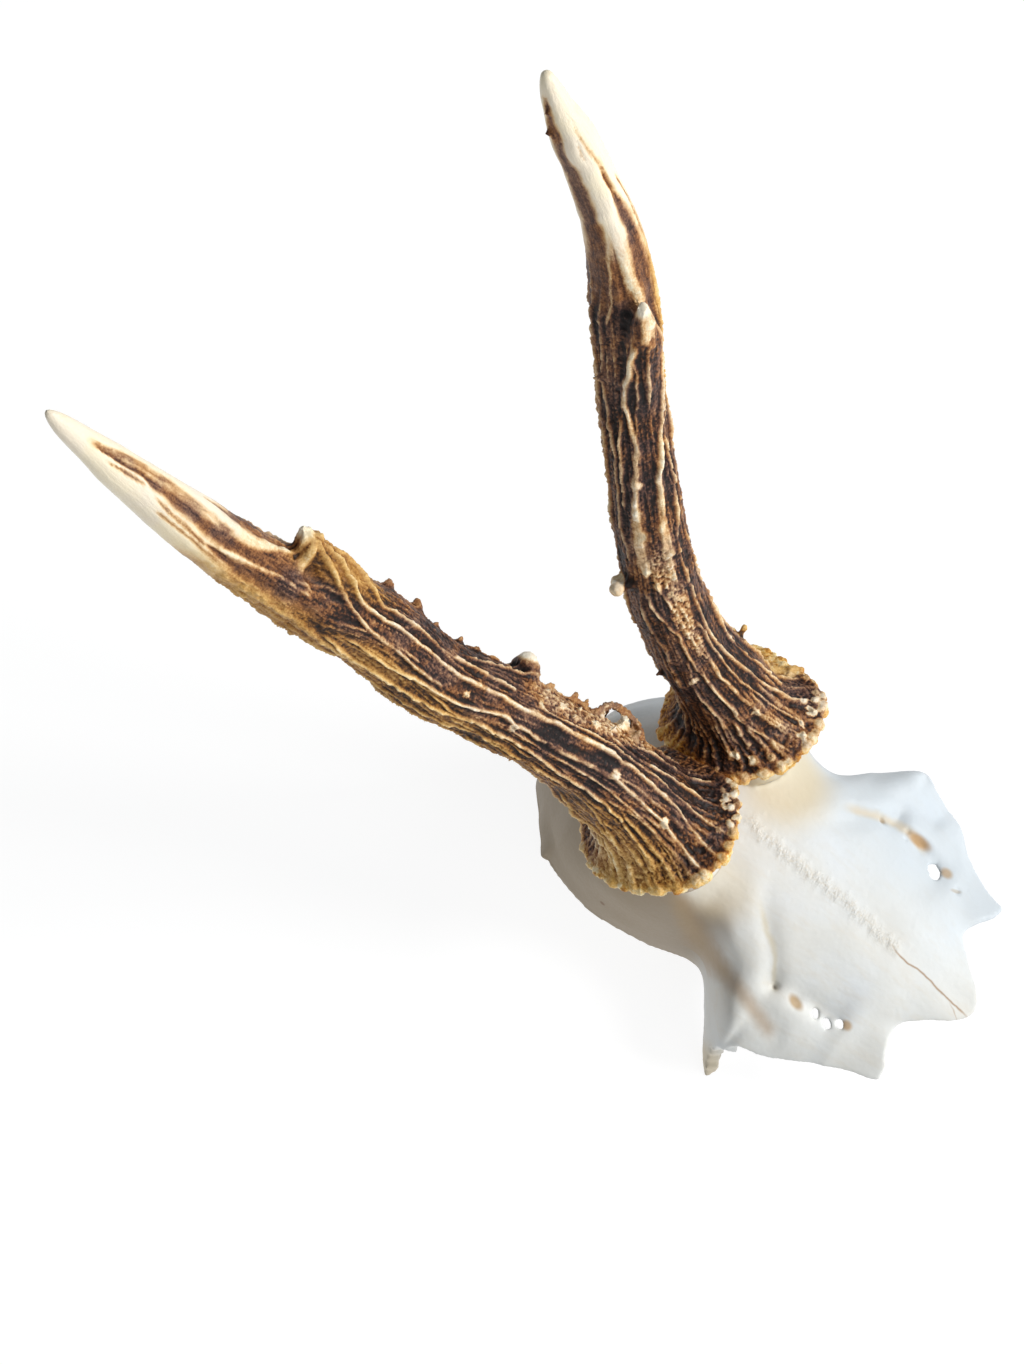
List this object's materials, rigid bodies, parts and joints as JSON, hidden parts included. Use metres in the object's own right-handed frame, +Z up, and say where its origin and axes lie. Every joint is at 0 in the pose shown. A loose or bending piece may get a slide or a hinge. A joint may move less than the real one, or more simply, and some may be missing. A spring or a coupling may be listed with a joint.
{
  "type": "roe deer skull cap with antlers",
  "caption": "Sawn-off roe deer skull top with a pair of ridged, short-tined antlers rising from lumpy burrs; it rests on its flat sawn rim.",
  "frame": {"origin": "on the table plane, on the skull's midline, in the middle of the thickness of the sawn rear rim", "axes": "+Z up from the table, -Y towards the nose, +X towards the deer's left side"},
  "size_m": [0.1116, 0.1845, 0.2207],
  "materials": {
    "bleached_bone": "dry, boiled and bleached bone, matt ivory white",
    "antler_bone": "dry antler, cream ridges over dark brown furrows, polished ivory tips"
  },
  "bodies": {
    "root": {"skull_cap": "bleached_bone", "antler_right": "antler_bone", "antler_left": "antler_bone"}
  },
  "joints": []
}
